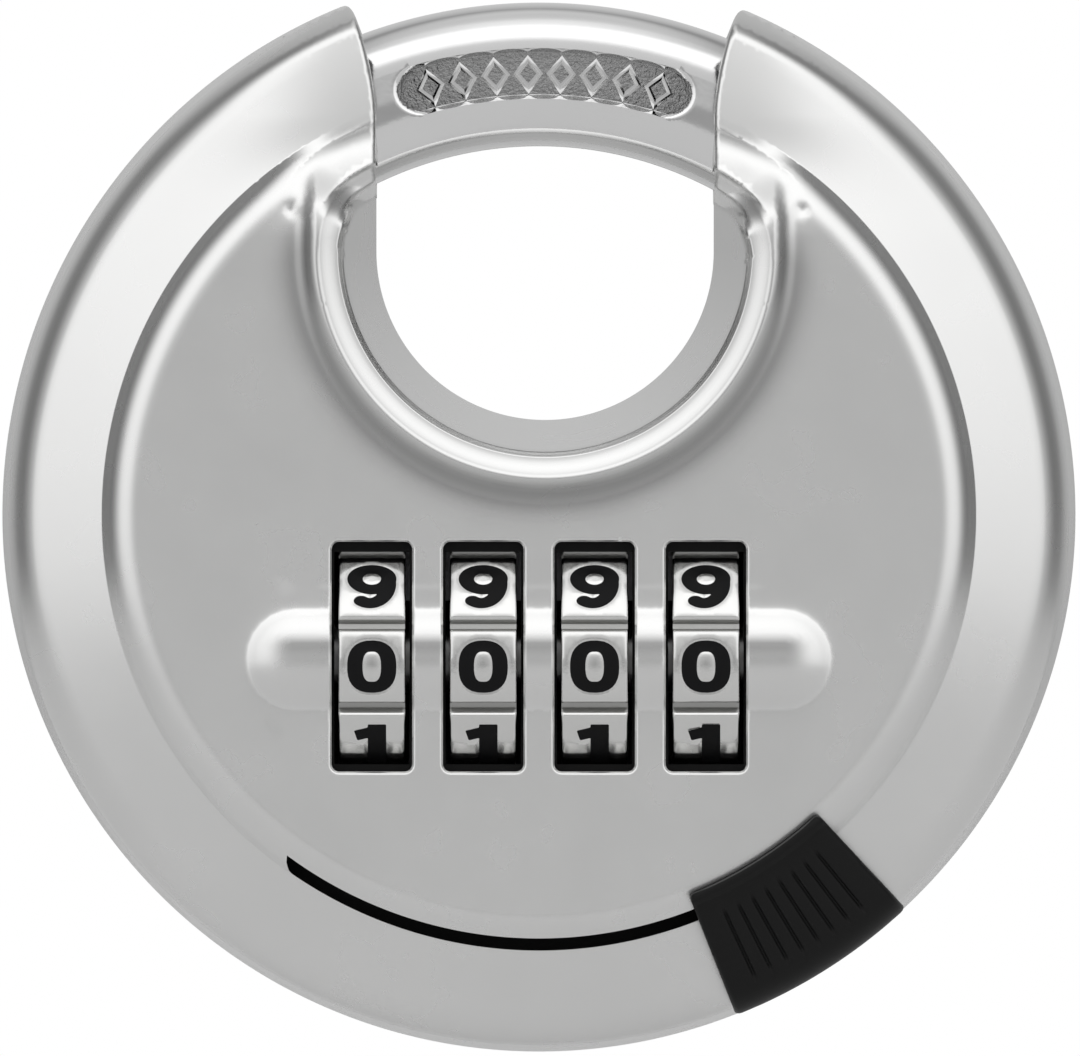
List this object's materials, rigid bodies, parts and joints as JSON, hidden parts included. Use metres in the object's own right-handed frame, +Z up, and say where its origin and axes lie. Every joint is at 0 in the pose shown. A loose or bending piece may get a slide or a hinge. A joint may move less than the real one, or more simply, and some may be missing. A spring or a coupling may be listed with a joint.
{
  "type": "disc padlock",
  "caption": "Round steel combination padlock: numbered dials behind front windows, and a curved shackle that turns across a U-shaped throat when the thumb tab is pushed.",
  "frame": {"origin": "disc centre at the seam between the two shells, on the axis that the shackle turns about", "axes": "+X right seen from the dials, +Y to the rear, +Z up towards the throat; the dials face -Y"},
  "size_m": [0.07, 0.0265, 0.0684],
  "materials": {
    "shell_steel": "satin pressed stainless steel",
    "shackle_chrome": "polished hardened steel",
    "tab_plastic": "matte black, grooved",
    "black_strip": "matte black",
    "dial_steel": "satin, with black filled digits",
    "sleeve_brass": "machined",
    "chassis_zinc": "as cast zinc",
    "plain_steel": "machined",
    "hard_steel": "hardened, dark",
    "spring_steel": "drawn wire and strip",
    "seal_rubber": "black moulded seal"
  },
  "bodies": {
    "housing": {"front_shell": "shell_steel", "rear_shell": "shell_steel", "shell_posts": "plain_steel", "spring_bracket": "plain_steel", "dial_chassis": "chassis_zinc", "chassis_standoffs": "plain_steel", "chassis_screws": "plain_steel", "detent_spring": "spring_steel", "detent_screws": "plain_steel", "dial_bezel": "black_strip", "drill_plate": "hard_steel", "shackle_guide": "chassis_zinc", "open_stop": "plain_steel", "closed_stop": "plain_steel", "horn_seal_left": "seal_rubber", "horn_seal_right": "seal_rubber"},
    "shackle_body": {"shackle": "shackle_chrome", "thumb_tab": "tab_plastic", "tab_carrier": "plain_steel", "tab_screws": "plain_steel", "dust_strip": "black_strip"},
    "dial_1_body": {"dial_1": "dial_steel", "clutch_sleeve_1": "sleeve_brass"},
    "dial_2_body": {"dial_2": "dial_steel", "clutch_sleeve_2": "sleeve_brass"},
    "dial_3_body": {"dial_3": "dial_steel", "clutch_sleeve_3": "sleeve_brass"},
    "dial_4_body": {"dial_4": "dial_steel", "clutch_sleeve_4": "sleeve_brass"},
    "bolt_body": {"spindle": "plain_steel", "locking_bolt": "hard_steel", "bolt_pin": "plain_steel", "bolt_spring": "spring_steel"}
  },
  "joints": [
    {"name": "shackle_turn", "type": "hinge", "parent": "housing", "child": "shackle_body", "pos_m": [0, 0, 0], "axis": [0, 1, 0], "range_deg": [0, 58]},
    {"name": "dial_1_spin", "type": "hinge", "parent": "housing", "child": "dial_1_body", "pos_m": [0, -0.0045, -0.0093], "axis": [1, 0, 0], "continuous": true},
    {"name": "dial_2_spin", "type": "hinge", "parent": "housing", "child": "dial_2_body", "pos_m": [0, -0.0045, -0.0093], "axis": [1, 0, 0], "continuous": true},
    {"name": "dial_3_spin", "type": "hinge", "parent": "housing", "child": "dial_3_body", "pos_m": [0, -0.0045, -0.0093], "axis": [1, 0, 0], "continuous": true},
    {"name": "dial_4_spin", "type": "hinge", "parent": "housing", "child": "dial_4_body", "pos_m": [0, -0.0045, -0.0093], "axis": [1, 0, 0], "continuous": true},
    {"name": "bolt_slide", "type": "slide", "parent": "housing", "child": "bolt_body", "axis": [1, 0, 0], "range_m": [0, 0.003], "deforming": ["bolt_spring"]}
  ]
}
